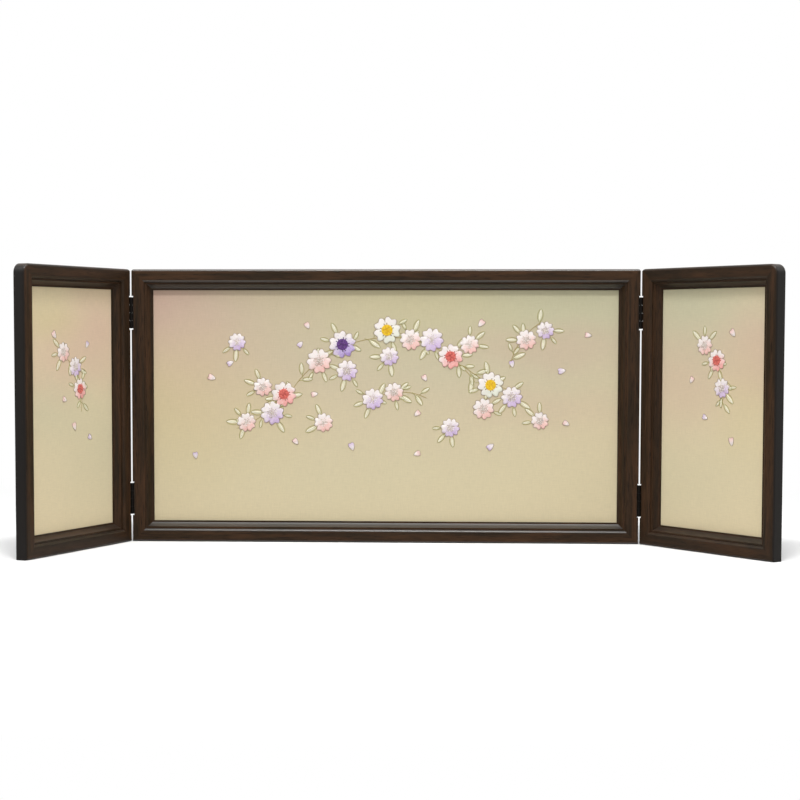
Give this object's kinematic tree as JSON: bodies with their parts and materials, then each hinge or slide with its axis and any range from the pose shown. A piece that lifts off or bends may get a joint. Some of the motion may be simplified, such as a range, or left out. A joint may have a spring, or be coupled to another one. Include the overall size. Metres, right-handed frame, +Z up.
{
  "type": "folding screen",
  "caption": "Tabletop folding screen of framed fabric panels, the wings hinged to a wider centre panel and folded forward.",
  "frame": {"origin": "middle of the centre panel's bottom face", "axes": "+Z up, +X to the right along the centre panel, the fronts face -Y"},
  "size_m": [0.7225, 0.1728, 0.28],
  "materials": {
    "stained_wood": "satin",
    "plain_wood": "matte",
    "gold_fabric": "woven",
    "hardboard": "matte",
    "backing_card": "matte",
    "bare_steel": "satin",
    "black_metal": "satin"
  },
  "bodies": {
    "centre_panel": {"centre_backing_board": "backing_card", "centre_bottom_rail": "stained_wood", "centre_core_board": "hardboard", "centre_fabric_cover": "gold_fabric", "centre_left_stile": "stained_wood", "centre_mitre_splines": "plain_wood", "centre_retaining_tabs": "bare_steel", "centre_right_stile": "stained_wood", "centre_top_rail": "stained_wood", "left_lower_hinge_centre_leaf": "black_metal", "left_lower_hinge_centre_screws": "black_metal", "left_lower_hinge_pin": "black_metal", "left_upper_hinge_centre_leaf": "black_metal", "left_upper_hinge_centre_screws": "black_metal", "left_upper_hinge_pin": "black_metal", "right_lower_hinge_centre_leaf": "black_metal", "right_lower_hinge_centre_screws": "black_metal", "right_lower_hinge_pin": "black_metal", "right_upper_hinge_centre_leaf": "black_metal", "right_upper_hinge_centre_screws": "black_metal", "right_upper_hinge_pin": "black_metal"},
    "left_wing": {"left_lower_hinge_wing_leaf": "black_metal", "left_lower_hinge_wing_screws": "black_metal", "left_upper_hinge_wing_leaf": "black_metal", "left_upper_hinge_wing_screws": "black_metal", "left_wing_backing_board": "backing_card", "left_wing_bottom_rail": "stained_wood", "left_wing_core_board": "hardboard", "left_wing_fabric_cover": "gold_fabric", "left_wing_inner_stile": "stained_wood", "left_wing_mitre_splines": "plain_wood", "left_wing_outer_stile": "stained_wood", "left_wing_retaining_tabs": "bare_steel", "left_wing_top_rail": "stained_wood"},
    "right_wing": {"right_lower_hinge_wing_leaf": "black_metal", "right_lower_hinge_wing_screws": "black_metal", "right_upper_hinge_wing_leaf": "black_metal", "right_upper_hinge_wing_screws": "black_metal", "right_wing_backing_board": "backing_card", "right_wing_bottom_rail": "stained_wood", "right_wing_core_board": "hardboard", "right_wing_fabric_cover": "gold_fabric", "right_wing_inner_stile": "stained_wood", "right_wing_mitre_splines": "plain_wood", "right_wing_outer_stile": "stained_wood", "right_wing_retaining_tabs": "bare_steel", "right_wing_top_rail": "stained_wood"}
  },
  "joints": [
    {"name": "left_wing_fold", "type": "hinge", "parent": "centre_panel", "child": "left_wing", "pos_m": [-0.2599, -0.007, 0.14], "axis": [0, 0, 1], "range_deg": [-69, 114]},
    {"name": "right_wing_fold", "type": "hinge", "parent": "centre_panel", "child": "right_wing", "pos_m": [0.2599, -0.007, 0.14], "axis": [0, 0, -1], "range_deg": [-54.5, 128.5]}
  ]
}
